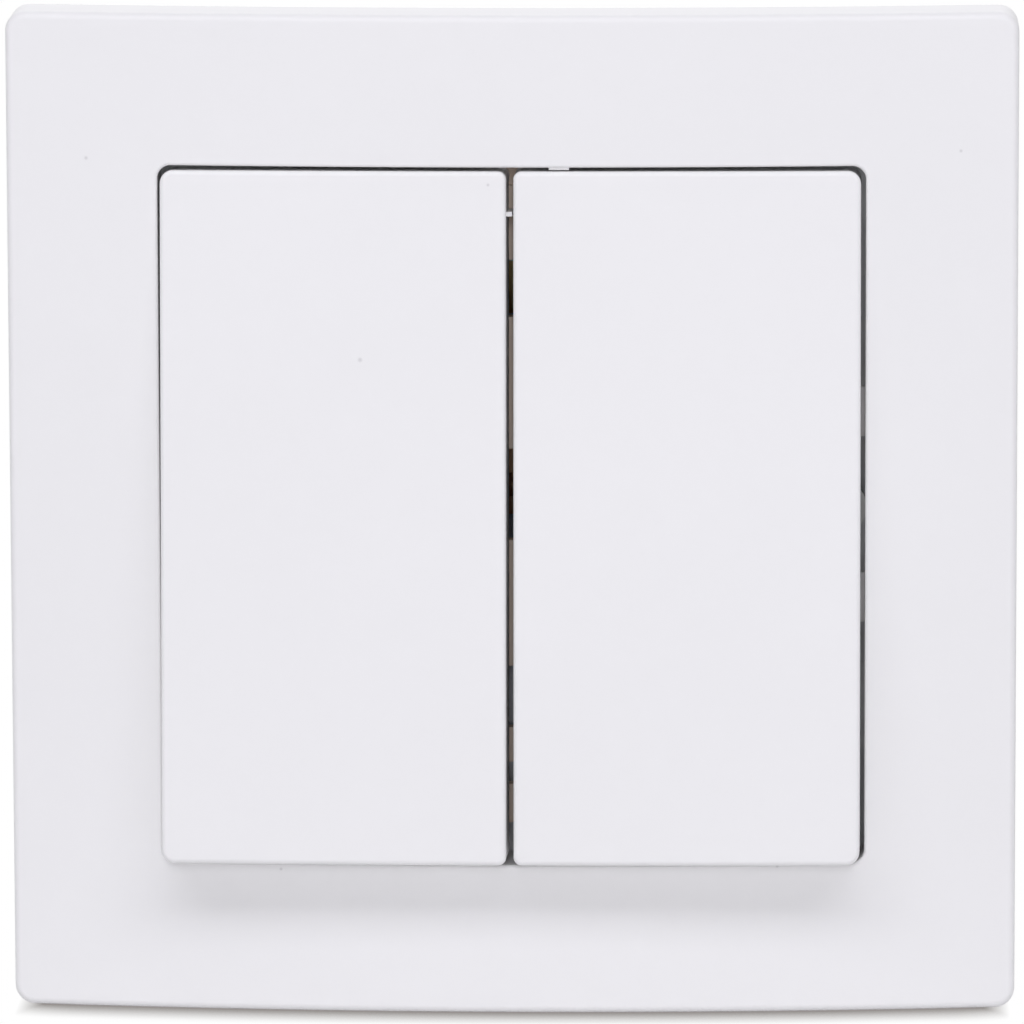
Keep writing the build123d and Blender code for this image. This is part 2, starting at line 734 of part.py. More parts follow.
def claw_pin():
    """Right-hand hinge pin through both lugs."""
    end = lug_y + lug_thickness / 2 + claw_pin_overrun
    return rod_y(claw_pin_radius, claw_pin_x, -end, end, -claw_pin_drop)


def claw_screw():
    """Right-hand claw screw from the front of the plate."""
    body = prism(Circle(claw_screw_head), plate_thickness, plate_thickness + clamp_head_height)
    body += prism(Circle(claw_screw_radius), plate_thickness - claw_screw_length, plate_thickness)
    return Pos(claw_screw_x, 0) * (body - cross_recess(plate_thickness + clamp_head_height - recess_depth))


def claw_nut():
    """Right-hand square nut behind the foot of its claw."""
    top = claw_foot_low - claw_nut_gap
    nut = Rectangle(claw_nut_size, claw_nut_size) - Circle(claw_screw_radius)
    return Pos(claw_screw_x, 0) * prism(nut, top - claw_nut_height, top)


def both_sides(piece):
    """The right-hand piece and its mirror image, as one group."""
    return Compound([piece, mirror(piece, Plane.YZ)])


# At rest the top of each rocker is pressed in, so its contact is closed.
pressed = {
    "rocker": turned(rocker(), pivot_z, -rocker_tilt),
    "yoke": turned(yoke(), pivot_z, -rocker_tilt),
    "plunger": turned(plunger(), pivot_z, -rocker_tilt),
    "spring": turned(spring(), pivot_z, -rocker_tilt),
    "lever": turned(contact_lever(), lever_axis, lever_tilt),
    "lever_contact": turned(lever_contact(), lever_axis, lever_tilt),
    "load_strip": load_strip(),
    "claw": claw(),
}
pieces = {
    "cover_frame": cover_frame(),
    "rocker_carrier": rocker_carrier(),
    "support_plate": support_plate(),
    "switch_base": switch_base(),
    "carrier_screws": Compound(
        [Pos(x, y) * carrier_screw() for x in (-boss_x, boss_x) for y in (-boss_y, boss_y)]
    ),
    "feed_strip": feed_strip(),
    "fixed_contacts": both_sides(fixed_contact()),
    "terminal_screws": Compound(at_terminals(clamp_screw())),
    "claw_pins": both_sides(claw_pin()),
    "claw_screws": both_sides(claw_screw()),
    "claw_nuts": both_sides(claw_nut()),
}
for name, piece in zip(("feed_terminal", "left_terminal", "right_terminal"), at_terminals(terminal())):
    pieces[name] = piece
for name, piece in pressed.items():
    pieces["right_" + name] = piece
    pieces["left_" + name] = mirror(piece, Plane.YZ)
pieces["left_rocker"] += turned(spacer(), pivot_z, -rocker_tilt)

os.makedirs("parts", exist_ok=True)
for name, piece in pieces.items():
    export_step(Rot(90, 0, 0) * piece, f"parts/{name}.step")
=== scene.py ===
import json
import math

import bpy
import numpy as np
from bpy.props import FloatProperty, FloatVectorProperty, PointerProperty
from bpy.types import Operator, Panel, PropertyGroup
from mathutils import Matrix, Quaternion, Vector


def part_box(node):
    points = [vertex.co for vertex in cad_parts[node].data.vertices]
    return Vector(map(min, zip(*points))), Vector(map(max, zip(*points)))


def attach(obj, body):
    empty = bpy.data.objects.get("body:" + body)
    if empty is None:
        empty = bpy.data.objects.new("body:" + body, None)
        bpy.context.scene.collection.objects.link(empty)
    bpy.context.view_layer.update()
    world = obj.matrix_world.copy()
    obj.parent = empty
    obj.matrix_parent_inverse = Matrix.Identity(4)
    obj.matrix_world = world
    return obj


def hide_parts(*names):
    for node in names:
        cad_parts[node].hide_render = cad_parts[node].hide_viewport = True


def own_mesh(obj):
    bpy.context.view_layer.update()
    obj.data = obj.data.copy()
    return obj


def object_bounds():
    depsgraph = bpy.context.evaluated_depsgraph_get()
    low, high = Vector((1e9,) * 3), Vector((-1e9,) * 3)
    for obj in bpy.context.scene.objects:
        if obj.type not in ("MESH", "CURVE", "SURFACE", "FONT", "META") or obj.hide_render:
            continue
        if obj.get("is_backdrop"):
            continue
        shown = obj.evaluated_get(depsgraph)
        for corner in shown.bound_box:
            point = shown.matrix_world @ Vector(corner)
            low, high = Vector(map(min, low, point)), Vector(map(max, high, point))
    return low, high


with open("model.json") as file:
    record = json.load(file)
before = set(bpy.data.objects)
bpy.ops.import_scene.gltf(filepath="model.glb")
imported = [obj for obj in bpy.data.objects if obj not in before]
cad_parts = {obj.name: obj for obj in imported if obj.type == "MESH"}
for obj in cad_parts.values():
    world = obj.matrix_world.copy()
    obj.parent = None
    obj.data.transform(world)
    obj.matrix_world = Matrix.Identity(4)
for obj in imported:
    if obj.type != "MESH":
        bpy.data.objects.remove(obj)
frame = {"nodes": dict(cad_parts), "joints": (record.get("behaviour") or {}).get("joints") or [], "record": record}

bl_info = {
    "name": "Two-gang rocker light switch",
    "version": (1, 0, 0),
    "blender": (4, 5, 0),
    "location": "3D View > Sidebar > Light switch",
    "description": "Finishes the packed solids of a rocker light switch and sets its stage",
    "category": "Object",
}

CAD_LOW, CAD_HIGH = (list(corner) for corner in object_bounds())
NODES = frame["nodes"]
RECORD = frame["record"]
SLOT_OF = {part["node"]: part["material_slot"] for part in RECORD["subparts"]}
COLOUR_OF = {slot["slot"]: slot["base_color"] for slot in RECORD["materials"]}
SIDES = ("left", "right")
WHITE = (1.0, 1.0, 1.0)

# Claw screws as they are in the source, in metres: the heads end at the sides of the screws' common box,
# and the shanks carry the threads
CLAW_HEAD_RADIUS = 0.0022
CLAW_SHANK_RADIUS = 0.0015

# Threads: points round the shank, rings to a pitch, how far the roots lie inside the shank in metres,
# steepness and flat share of the ridge, and pitches over which it fades out
THREAD_COLUMNS = 40
THREAD_ROWS = 12
THREAD_SINK = 0.00002
RIDGE_GAIN = 1.35
RIDGE_FLAT = 0.1
THREAD_FADE = 0.8

# Springs: points round the wire, rings to a turn, rise of a dead turn in wire radii,
# and an odd number of rings over which the changes of climb are smoothed
WIRE_COLUMNS = 14
COIL_ROWS = 44
DEAD_RISE = 2.1
CLIMB_SMOOTH = 15

# Dust: x, y, z and radius of each speck in metres, the share of the depth that counts in the distance
# to a speck, so that it lies flat on the arched face, the radii at which it ends, and its strength
SPECKS = (
    (-0.0118, -0.0099, 0.01286, 0.00017),
    (-0.00169, -0.009, 0.02667, 0.00012),
    (-0.03351, -0.007, 0.02852, 0.00014),
    (0.03552, -0.0068, 0.02914, 0.00012),
    (0.02113, -0.0082, -0.02804, 0.00013),
    (-0.01839, -0.0084, -0.02839, 0.00012),
)
SPECK_DEPTH = 0.06
SPECK_END = 1.4
SPECK_STRENGTH = 0.35

# Lamps: name, place, and width and height in metres; the power of each is a setting of the stage
LAMPS = (
    ("key", (0.0, -0.717, 0.962), (2.0, 0.34)),
    ("front", (0.039, -1.2, 0.26), (0.1, 0.3)),
    ("back", (0.0, 0.55, 0.35), (0.8, 0.4)),
)

# Floor: its matt grey as the light meets it, samples of the contact shade, the open share at which the shade
# is deepest and how fast it lightens from there, the length in metres over which it fades out at the switch's
# sides, and how many such lengths before the side the fading begins
FLOOR_GREY = (0.8, 0.8, 0.8)
FLOOR_ROUGHNESS = 0.9
SHADE_SAMPLES = 16
SHADE_DEEPEST = 0.5
SHADE_GAIN = 2.3
CORNER_FADE = 0.002
CORNER_LEAD = 1.2


def length(name, description, default):
    """A size in metres that a user may change."""
    return FloatProperty(name=name, description=description, default=default, unit="LENGTH", precision=5)


def number(name, description, default):
    """A plain number that a user may change."""
    return FloatProperty(name=name, description=description, default=default, precision=3)


def angle(name, description, default):
    """An angle that a user may change, given in degrees here and kept in radians."""
    return FloatProperty(
        name=name, description=description, default=math.radians(default), subtype="ANGLE", precision=4
    )


def colour(name, description, default):
    """A colour that a user may change, in linear light."""
    return FloatVectorProperty(
        name=name, description=description, default=tuple(default), subtype="COLOR", min=0, max=1, size=3
    )


class SwitchSizes(PropertyGroup):
    """Sizes of the pieces that are made here."""

    thread_depth: length("Thread depth", "How far a thread stands out of its shank", 0.00016)
    thread_pitch: length("Thread pitch", "Advance of a screw thread in one turn", 0.0005)
    thread_margin: length("Thread margin", "Plain shank left at each end of a thread", 0.0005)
    wire_radius: length("Spring wire", "Radius of the round spring wire", 0.0002)
    spring_turns: number("Spring turns", "Open turns of each coil spring", 4.0)
    dead_turns: number("Dead turns", "Turns that lie flat at each end of a spring", 0.75)


class SwitchColours(PropertyGroup):
    """Colours of the finishes. The greys and metals are those of the record's material slots."""

    white_gloss: colour("Frame and rockers", "White of the visible mouldings", (0.886, 0.881, 0.876))
    # The carrier's colour is partly its own cream white and partly painted warm glow, for the warm light scattered
    # in the deep gaps
    white_matte: colour("Carrier", "Warm white of the inner mouldings", (0.89, 0.74, 0.61))
    grey_moulding: colour("Base", "Grey of the switch base", COLOUR_OF["grey_moulding"])
    zinc_steel: colour("Sheet steel", "Zinc plated plate and claws", COLOUR_OF["zinc_steel"])
    screw_steel: colour("Screws", "Bright plated screws, pins and nuts", COLOUR_OF["screw_steel"])
    spring_steel: colour("Springs", "Drawn spring wire", COLOUR_OF["spring_steel"])
    brass: colour("Terminals", "Brass of the terminal blocks", COLOUR_OF["brass"])
    copper_alloy: colour("Strips", "Copper alloy of strips and levers", COLOUR_OF["copper_alloy"])
    contact_silver: colour("Contacts", "Silver alloy of the contacts", COLOUR_OF["contact_silver"])
    dust: colour("Dust", "Colour of the few dust specks", (0.42, 0.41, 0.42))


class SwitchStage(PropertyGroup):
    """Camera, lamps and floor."""

    azimuth: angle("Azimuth", "Camera to the right of straight ahead", 1.86)
    elevation: angle("Elevation", "Camera above straight ahead", 9.35)
    roll: angle("Roll", "Turn of the camera about its own axis", -0.163)
    distance: length("Distance", "From the camera to its target", 0.8)
    target_y: length("Target depth", "Where the camera aims, along Y", -0.005)
    lens: number("Lens", "Focal length for a 36 mm sensor, in millimetres", 353.7)
    shift_y: number("Shift", "Camera shift up", -0.0008)
    sky: number("Sky", "Strength of the even light from all round", 0.34)
    key_power: number("Key", "Power of the wide soft lamp above, in watts", 8.4)
    front_power: number("Front", "Power of the narrow lamp above the camera, in watts", 3.3)
    back_power: number("Back", "Power of the soft lamp behind, in watts", 0.8)
    light_tint: colour("Light tint", "Colour of the lamps and of the even light", (0.95, 0.945, 1.0))
    floor_size: length("Floor", "Side of the square floor", 6.0)
    contact_shade: length("Contact shade", "Reach of the shade where the floor meets the switch", 0.006)
    shade_colour: colour("Shade colour", "Colour of the contact shade at its deepest", (0.315, 0.295, 0.285))


class Signal:
    """One output socket of a node tree. Sums and products with numbers or other signals add Math nodes."""

    def __init__(self, tree, socket):
        self.tree = tree
        self.socket = socket

    def node(self, kind, settings=None, inputs=None, output=0):
        """Adds a node of any kind: its settings first, then its sockets' values or links."""
        made = self.tree.nodes.new(kind)
        for key, value in (settings or {}).items():
            setattr(made, key, value)
        for key, value in (inputs or {}).items():
            if isinstance(value, Signal):
                self.tree.links.new(value.socket, made.inputs[key])
            else:
                made.inputs[key].default_value = value
        return Signal(self.tree, made.outputs[output])

    def math(self, operation, first, second, clamp=False):
        """A Math node of two terms."""
        settings = {"operation": operation, "use_clamp": clamp}
        return self.node("ShaderNodeMath", settings, {0: first, 1: second})

    def __add__(self, other):
        return self.math("ADD", self, other)

    __radd__ = __add__

    def __sub__(self, other):
        return self.math("SUBTRACT", self, other)

    def __rsub__(self, other):
        return self.math("SUBTRACT", other, self)

    def __mul__(self, other):
        return self.math("MULTIPLY", self, other)

    __rmul__ = __mul__

    def __truediv__(self, other):
        return self.math("DIVIDE", self, other)

    def least(self, other):
        """The smaller of two values."""
        return self.math("MINIMUM", self, other)

    def most(self, other):
        """The larger of two values."""
        return self.math("MAXIMUM", self, other)

    def held(self):
        """The value held between 0 and 1."""
        return self.math("ADD", self, 0.0, clamp=True)

    def stretched(self, factors):
        """A place vector stretched along each axis."""
        return self.node("ShaderNodeVectorMath", {"operation": "MULTIPLY"}, {0: self, 1: factors})

    def noise(self, scale, detail=2.0, roughness=0.5):
        """Soft noise at this place vector."""
        sockets = {"Vector": self, "Scale": scale, "Detail": detail, "Roughness": roughness}
        return self.node("ShaderNodeTexNoise", {}, sockets)

    def cells(self, scale, output="Color"):
        """Voronoi cells at this place vector."""
        return self.node("ShaderNodeTexVoronoi", {}, {"Vector": self, "Scale": scale}, output)

    def away(self, point):
        """Distance from this place vector to a point."""
        return self.node("ShaderNodeVectorMath", {"operation": "DISTANCE"}, {0: self, 1: point}, "Value")

    def tint(self, low, high):
        """A colour between two colours, by this value."""
        settings = {"data_type": "RGBA", "clamp_factor": True}
        inputs = {0: self, 6: as_colour(low), 7: as_colour(high)}
        return self.node("ShaderNodeMix", settings, inputs, 2)

    def bump(self, strength, distance):
        """A normal that follows this value as a height."""
        return self.node("ShaderNodeBump", {}, {"Strength": strength, "Distance": distance, "Height": self})


def as_colour(value):
    """A signal as it is, or three numbers as an opaque colour."""
    return value if isinstance(value, Signal) else (*value, 1.0)


def scaled(shade, factor):
    """A colour made darker or lighter by a factor."""
    return tuple(min(1.0, part * factor) for part in shade)


class Finish:
    """A material with one Principled shader, read in the object's own coordinates."""

    def __init__(self, name):
        self.material = bpy.data.materials.new(f"{name}_finish")
        self.material.use_nodes = True
        self.tree = self.material.node_tree
        self.shader = self.tree.nodes["Principled BSDF"]
        texture = self.tree.nodes.new("ShaderNodeTexCoord")
        self.place = Signal(self.tree, texture.outputs["Object"])

    def set(self, **sockets):
        """Feeds the shader's sockets: signals are linked, numbers and colours set."""
        for key, value in sockets.items():
            socket = self.shader.inputs[key.replace("_", " ")]
            if isinstance(value, Signal):
                self.tree.links.new(value.socket, socket)
            else:
                flat = socket.type == "RGBA"
                socket.default_value = as_colour(value) if flat else value
        return self


def white_gloss(shades):
    """Smooth white moulding: faint clouding in colour and gloss, a very fine grain and a few dust specks."""
    finish = Finish("white_gloss")
    cloud = finish.place.noise(48.0, detail=3.0)
    grain = finish.place.noise(5200.0, detail=2.0)
    ripple = finish.place.noise(210.0, detail=1.0)
    flat_place = finish.place.stretched((1.0, SPECK_DEPTH, 1.0))
    nearest = None
    for x, y, z, size in SPECKS:
        share = flat_place.away((x, SPECK_DEPTH * y, z)) / size
        nearest = share if nearest is None else nearest.least(share)
    speck = (SPECK_END - nearest).held() * SPECK_STRENGTH
    plain = cloud.tint(scaled(shades.white_gloss, 0.985), scaled(shades.white_gloss, 1.015))
    finish.set(
        Base_Color=speck.tint(plain, shades.dust[:]),
        Roughness=0.3 + 0.06 * cloud + 0.05 * grain + 0.2 * speck,
        Normal=(0.35 * grain + ripple).bump(strength=0.1, distance=0.00004),
        IOR=1.5,
    )
    return finish.material


def white_matte(shades):
    """Inner moulding in cream white, made warmer as painted warm glow for the deep gaps: soft clouding, a dull
    skin and a fine eroded grain.
    """
    finish = Finish("white_matte")
    cloud = finish.place.noise(90.0, detail=3.0)
    grain = finish.place.noise(3800.0, detail=2.0)
    finish.set(
        Base_Color=cloud.tint(scaled(shades.white_matte, 0.95), scaled(shades.white_matte, 1.03)),
        Roughness=0.48 + 0.1 * cloud + 0.08 * grain,
        Normal=grain.bump(strength=0.2, distance=0.00005),
    )
    return finish.material


def grey_moulding(shades):
    """Light grey thermoset moulding: fine flecks of filler, cloudy flow marks and an eroded grain."""
    finish = Finish("grey_moulding")
    cloud = finish.place.stretched((1.0, 0.35, 1.0)).noise(130.0, detail=4.0)
    grain = finish.place.noise(3000.0, detail=3.0)
    fleck = (finish.place.cells(1900.0, "Distance") * -4.0 + 1.1).held()
    plain = cloud.tint(scaled(shades.grey_moulding, 0.9), scaled(shades.grey_moulding, 1.06))
    finish.set(
        Base_Color=(fleck * 0.5).tint(plain, scaled(shades.grey_moulding, 0.72)),
        Roughness=0.5 + 0.12 * cloud + 0.12 * grain,
        Normal=grain.bump(strength=0.3, distance=0.00006),
    )
    return finish.material


def zinc_steel(shades):
    """Zinc plated sheet: rolled streaks along Z, small bright and dull crystal patches, faint stains."""
    finish = Finish("zinc_steel")
    patch = finish.place.cells(420.0)
    streak = finish.place.stretched((1.0, 1.0, 0.04)).noise(2600.0, detail=2.0)
    stain = finish.place.noise(75.0, detail=4.0)
    shade = 0.45 * patch + 0.3 * streak + 0.35 * stain
    finish.set(
        Base_Color=shade.tint(scaled(shades.zinc_steel, 0.86), scaled(shades.zinc_steel, 1.1)),
        Metallic=1.0,
        Roughness=0.26 + 0.16 * patch + 0.12 * stain,
        Normal=(streak + 0.4 * patch).bump(strength=0.12, distance=0.00003),
    )
    return finish.material


def screw_steel(shades):
    """Bright plated turned steel: fine turning lines, small scuffs and a slightly uneven sheen."""
    finish = Finish("screw_steel")
    line = finish.place.stretched((0.15, 1.0, 0.15)).noise(9000.0, detail=1.0)
    scuff = finish.place.noise(900.0, detail=4.0)
    finish.set(
        Base_Color=scuff.tint(scaled(shades.screw_steel, 0.88), scaled(shades.screw_steel, 1.08)),
        Metallic=1.0,
        Roughness=0.18 + 0.2 * scuff + 0.08 * line,
        Normal=line.bump(strength=0.15, distance=0.00002),
    )
    return finish.material


def spring_steel(shades):
    """Drawn wire: lengthwise die lines and a darker oiled bloom."""
    finish = Finish("spring_steel")
    line = finish.place.noise(12000.0, detail=1.0)
    bloom = finish.place.noise(1400.0, detail=3.0)
    finish.set(
        Base_Color=bloom.tint(scaled(shades.spring_steel, 0.7), scaled(shades.spring_steel, 1.1)),
        Metallic=1.0,
        Roughness=0.22 + 0.2 * bloom,
        Normal=line.bump(strength=0.1, distance=0.00001),
    )
    return finish.material


def brass(shades):
    """Extruded brass: drawn lines along Z, sawn end marks and a light brown tarnish in patches."""
    finish = Finish("brass")
    drawn = finish.place.stretched((1.0, 1.0, 0.05)).noise(5200.0, detail=2.0)
    tarnish = finish.place.noise(330.0, detail=4.0, roughness=0.6)
    plain = drawn.tint(scaled(shades.brass, 0.9), scaled(shades.brass, 1.08))
    finish.set(
        Base_Color=((tarnish - 0.52) * 2.6).held().tint(plain, scaled(shades.brass, 0.62)),
        Metallic=1.0,
        Roughness=0.24 + 0.28 * tarnish,
        Normal=drawn.bump(strength=0.15, distance=0.00003),
    )
    return finish.material


def copper_alloy(shades):
    """Rolled copper alloy strip: streaks along Z, heat tints and small dull spots."""
    finish = Finish("copper_alloy")
    streak = finish.place.stretched((1.0, 1.0, 0.06)).noise(4600.0, detail=2.0)
    heat = finish.place.noise(240.0, detail=3.0)
    plain = streak.tint(scaled(shades.copper_alloy, 0.88), scaled(shades.copper_alloy, 1.1))
    finish.set(
        Base_Color=((heat - 0.5) * 2.2).held().tint(plain, scaled(shades.copper_alloy, 0.66)),
        Metallic=1.0,
        Roughness=0.22 + 0.26 * heat + 0.06 * streak,
        Normal=streak.bump(strength=0.12, distance=0.00002),
    )
    return finish.material


def contact_silver(shades):
    """Pressed silver alloy: soft bright skin with a grey bloom and fine pits."""
    finish = Finish("contact_silver")
    bloom = finish.place.noise(1100.0, detail=4.0)
    pit = (finish.place.cells(5200.0, "Distance") * -5.0 + 1.0).held()
    finish.set(
        Base_Color=bloom.tint(scaled(shades.contact_silver, 0.8), scaled(shades.contact_silver, 1.06)),
        Metallic=1.0,
        Roughness=0.2 + 0.25 * bloom + 0.2 * pit,
        Normal=pit.bump(strength=0.2, distance=0.00001),
    )
    return finish.material


FINISHES = {
    make.__name__: make
    for make in (
        white_gloss,
        white_matte,
        grey_moulding,
        zinc_steel,
        screw_steel,
        spring_steel,
        brass,
        copper_alloy,
        contact_silver,
    )
}


def finish_of(slot):
    """The material of a slot, made at its first use."""
    made = bpy.data.materials.get(f"{slot}_finish")
    return made or FINISHES[slot](bpy.context.scene.switch_colours)


def dress(nodes):
    """Gives solids the material of their slot, and raises an error for a name that isn't there."""
    for node in nodes:
        if node not in NODES:
            raise RuntimeError(f"no solid named {node}")
        materials = NODES[node].data.materials
        materials.clear()
        materials.append(finish_of(SLOT_OF[node]))


def closed_tube(name, slot, rows, start, end):
    """A mesh from rings of points (rows, columns, 3): each ring wraps round, and a pole closes each end."""
    count, columns = rows.shape[:2]
    points = np.concatenate([rows.reshape(-1, 3), [start, end]])
    ring = np.arange(count * columns).reshape(count, columns)
    beside = np.roll(ring, -1, axis=1)
    quads = np.stack([ring[:-1], beside[:-1], beside[1:], ring[1:]], axis=-1).reshape(-1, 4)
    first = np.stack([beside[0], ring[0], np.full(columns, count * columns)], axis=-1)
    last = np.stack([ring[-1], beside[-1], np.full(columns, count * columns + 1)], axis=-1)
    mesh = bpy.data.meshes.new(name)
    mesh.from_pydata(points.tolist(), [], quads.tolist() + first.tolist() + last.tolist())
    mesh.validate()
    mesh.shade_smooth()
    mesh.materials.append(finish_of(slot))
    piece = bpy.data.objects.new(name, mesh)
    bpy.context.scene.collection.objects.link(piece)
    return piece


def vertices(node):
    """The corner points of a solid, as an array."""
    mesh = NODES[node].data
    points = np.empty(3 * len(mesh.vertices))
    mesh.vertices.foreach_get("co", points)
    return points.reshape(-1, 3)


def across(axis):
    """Two unit vectors square to an axis and to each other. First, second and axis are right-handed."""
    helper = np.array([1.0, 0.0, 0.0]) if abs(axis[0]) < 0.9 else np.array([0.0, 1.0, 0.0])
    first = np.cross(helper, axis)
    first /= np.linalg.norm(first)
    return first, np.cross(axis, first)


def thread(name, slot, foot, axis, reach, radius, sizes):
    """A screw thread on a shank. At height s and angle a the radius is the shank's plus the depth times a
    rounded ridge of s / pitch - a / full turn, and the ridge fades out at both ends."""
    axis = np.asarray(axis, float)
    first, second = across(axis)
    rows = int(round(THREAD_ROWS * reach / sizes.thread_pitch)) + 1
    height = np.linspace(0.0, reach, rows)[:, None]
    turn = np.linspace(0.0, 2 * np.pi, THREAD_COLUMNS, endpoint=False)[None, :]
    wave = np.abs(2 * np.mod(height / sizes.thread_pitch - turn / (2 * np.pi), 1.0) - 1.0)
    ridge = np.clip(RIDGE_GAIN * wave - RIDGE_FLAT, 0.0, 1.0)
    fade = np.clip(np.minimum(height, reach - height) / (THREAD_FADE * sizes.thread_pitch), 0.0, 1.0)
    around = radius - THREAD_SINK + (sizes.thread_depth + THREAD_SINK) * ridge * fade
    rings = (
        np.asarray(foot)
        + height[..., None] * axis
        + around[..., None] * (np.cos(turn)[..., None] * first + np.sin(turn)[..., None] * second)
    )
    return closed_tube(name, slot, rings, foot, np.asarray(foot) + reach * axis)


def coil(name, slot, foot, axis, reach, radius, sizes):
    """A coil spring of round wire. Its centre line turns evenly while it climbs slowly in the dead turns at
    both ends and evenly between them; the wire is a circle carried along that line."""
    axis = np.asarray(axis, float)
    first, second = across(axis)
    turns = sizes.spring_turns + 2 * sizes.dead_turns
    along = np.linspace(0.0, turns, int(COIL_ROWS * turns))
    dead_rise = DEAD_RISE * sizes.wire_radius * sizes.dead_turns
    climb = reach - 2 * sizes.wire_radius
    knots = [0.0, sizes.dead_turns, turns - sizes.dead_turns, turns]
    height = np.interp(along, knots, [0.0, dead_rise, climb - dead_rise, climb])
    blend = np.ones(CLIMB_SMOOTH) / CLIMB_SMOOTH
    padded = np.pad(height, CLIMB_SMOOTH // 2, mode="reflect", reflect_type="odd")
    height = np.convolve(padded, blend, mode="valid")
    turn = 2 * np.pi * along[:, None]
    outward = np.cos(turn) * first + np.sin(turn) * second
    line = np.asarray(foot) + (sizes.wire_radius + height)[:, None] * axis + radius * outward
    ahead = np.gradient(line, axis=0)
    ahead /= np.linalg.norm(ahead, axis=1, keepdims=True)
    side = np.cross(ahead, outward)
    side /= np.linalg.norm(side, axis=1, keepdims=True)
    round_wire = np.linspace(0.0, 2 * np.pi, WIRE_COLUMNS, endpoint=False)[None, :, None]
    rings = line[:, None] + sizes.wire_radius * (
        np.cos(round_wire) * outward[:, None] + np.sin(round_wire) * side[:, None]
    )
    return closed_tube(name, slot, rings, line[0], line[-1])


class FinishCover(Operator):
    """White finish of the cover frame"""

    bl_idname = "light_switch.cover"
    bl_label = "Cover frame"

    def execute(self, context):
        dress(["cover_frame"])
        return {"FINISHED"}


class FinishRockers(Operator):
    """White finish of both rockers"""

    bl_idname = "light_switch.rockers"
    bl_label = "Rockers"

    def execute(self, context):
        dress([f"{side}_rocker" for side in SIDES])
        return {"FINISHED"}


class FinishMouldings(Operator):
    """Finishes of the inner mouldings: carrier, base, yokes and plungers"""

    bl_idname = "light_switch.mouldings"
    bl_label = "Inner mouldings"

    def execute(self, context):
        dress(["rocker_carrier", "switch_base"])
        dress([f"{side}_{piece}" for side in SIDES for piece in ("yoke", "plunger")])
        return {"FINISHED"}


class FinishSheetMetal(Operator):
    """Finishes of the support plate, claws, strips and levers"""

    bl_idname = "light_switch.sheet_metal"
    bl_label = "Sheet metal"

    def execute(self, context):
        dress(["support_plate", "feed_strip"])
        dress([f"{side}_{piece}" for side in SIDES for piece in ("claw", "load_strip", "lever")])
        return {"FINISHED"}


class FinishTerminals(Operator):
    """Finishes of the terminal blocks and contacts"""

    bl_idname = "light_switch.terminals"
    bl_label = "Terminals and contacts"

    def execute(self, context):
        dress(["feed_terminal", "left_terminal", "right_terminal", "fixed_contacts"])
        dress([f"{side}_lever_contact" for side in SIDES])
        return {"FINISHED"}


class FinishScrews(Operator):
    """Finishes of screws, pins and nuts, with threads on the claw screws"""

    bl_idname = "light_switch.screws"
    bl_label = "Screws"

    def execute(self, context):
        dress(["carrier_screws", "claw_screws", "terminal_screws", "claw_pins", "claw_nuts"])
        sizes = context.scene.switch_sizes
        low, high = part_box("claw_screws")
        reach = high.y - sizes.thread_margin
        for side, x in (("left", low.x + CLAW_HEAD_RADIUS), ("right", high.x - CLAW_HEAD_RADIUS)):
            name, foot = f"{side}_claw_thread", (x, 0.0, 0.0)
            piece = thread(name, "screw_steel", foot, (0, 1, 0), reach, CLAW_SHANK_RADIUS, sizes)
            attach(piece, "housing")
        return {"FINISHED"}


class MakeSprings(Operator):
    """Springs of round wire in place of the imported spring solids"""

    bl_idname = "light_switch.springs"
    bl_label = "Springs"

    def execute(self, context):
        sizes = context.scene.switch_sizes
        for side in SIDES:
            joint = next(j for j in frame["joints"] if j["name"] == f"{side}_plunger_travel")
            axis = np.array(joint["axis"], float)
            points = vertices(f"{side}_spring")
            along = points @ axis
            aside = points - along[:, None] * axis
            middle = (aside.min(0) + aside.max(0)) / 2
            reach = along.max() - along.min()
            radius = np.linalg.norm(aside - middle, axis=1).max() - sizes.wire_radius
            foot = middle + along.min() * axis
            piece = coil(f"{side}_spring_wire", "spring_steel", foot, axis, reach, radius, sizes)
            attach(piece, f"{side}_rocker_body")
            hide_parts(f"{side}_spring")
            travel = joint["range_m"][1]
            tuple(foot + reach * axis)
            1 - travel / reach
            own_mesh(piece)
        return {"FINISHED"}


